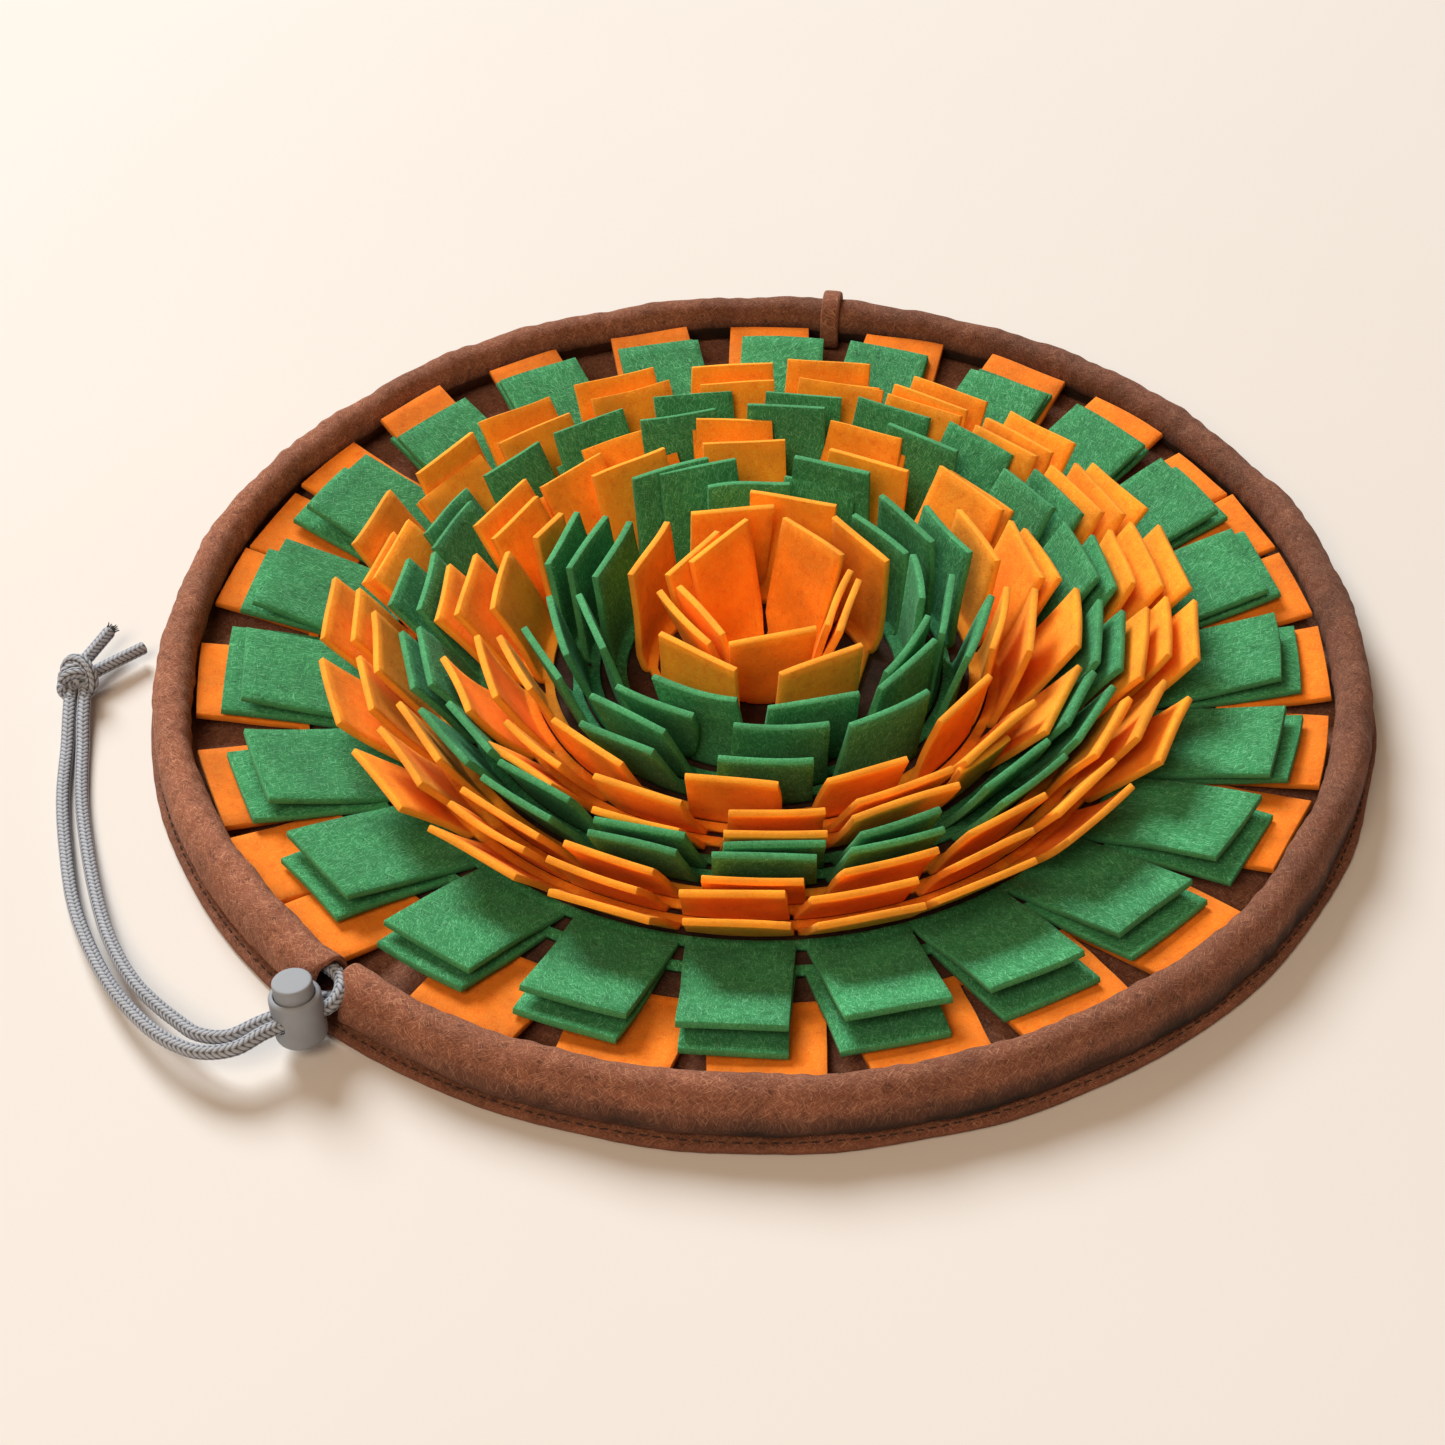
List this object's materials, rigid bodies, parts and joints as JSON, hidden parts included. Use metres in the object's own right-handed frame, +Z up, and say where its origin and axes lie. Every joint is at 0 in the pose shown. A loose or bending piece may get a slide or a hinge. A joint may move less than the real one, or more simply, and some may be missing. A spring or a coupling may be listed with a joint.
{
  "type": "snuffle bowl",
  "caption": "Round felt snuffle mat laid open: rings of felt flaps sewn to a disc, with a drawstring in its rim held by a spring cord lock.",
  "frame": {"origin": "centre of the underside of the base disc, on the surface that the bowl lies on", "axes": "+Z up through the centre rosette, -Y towards the viewer of the picture, +X to the viewer's right"},
  "size_m": [0.4936, 0.461, 0.0529],
  "materials": {
    "brown_felt": "matt felt",
    "orange_felt": "matt felt",
    "green_felt": "matt felt",
    "grey_cord": "braided cord",
    "grey_plastic": "satin moulded",
    "spring_steel": "drawn wire"
  },
  "bodies": {
    "mat": {"base_disc": "brown_felt", "rim_casing": "brown_felt", "rim_strap": "brown_felt", "ring_1_orange": "orange_felt", "ring_2_green_lower": "green_felt", "ring_2_green_upper": "green_felt", "ring_3_orange_outer": "orange_felt", "ring_3_orange_middle": "orange_felt", "ring_3_orange_inner": "orange_felt", "ring_4_green_outer": "green_felt", "ring_4_green_inner": "green_felt", "ring_5_orange_outer": "orange_felt", "ring_5_orange_middle": "orange_felt", "ring_5_orange_inner": "orange_felt", "ring_6_green_outer": "green_felt", "ring_6_green_middle": "green_felt", "ring_6_green_inner": "green_felt", "centre_orange_outer": "orange_felt", "centre_orange_inner": "orange_felt", "drawstring_in_rim": "grey_cord", "drawstring_inner_strand": "grey_cord", "drawstring_outer_strand": "grey_cord", "drawstring_knot": "grey_cord"},
    "cord_lock": {"lock_barrel": "grey_plastic", "lock_spring": "spring_steel"},
    "plunger": {"lock_plunger": "grey_plastic"}
  },
  "joints": [
    {"name": "lock_slide", "type": "slide", "parent": "mat", "child": "cord_lock", "axis": [-0.866, -0.5, 0], "range_m": [0, 0.008]},
    {"name": "plunger_press", "type": "slide", "parent": "cord_lock", "child": "plunger", "axis": [0.0609, -0.1055, -0.9925], "range_m": [0, 0.003], "stiffness_N_per_m": 600, "springref_m": -0.004, "deforming": ["lock_spring"]}
  ]
}
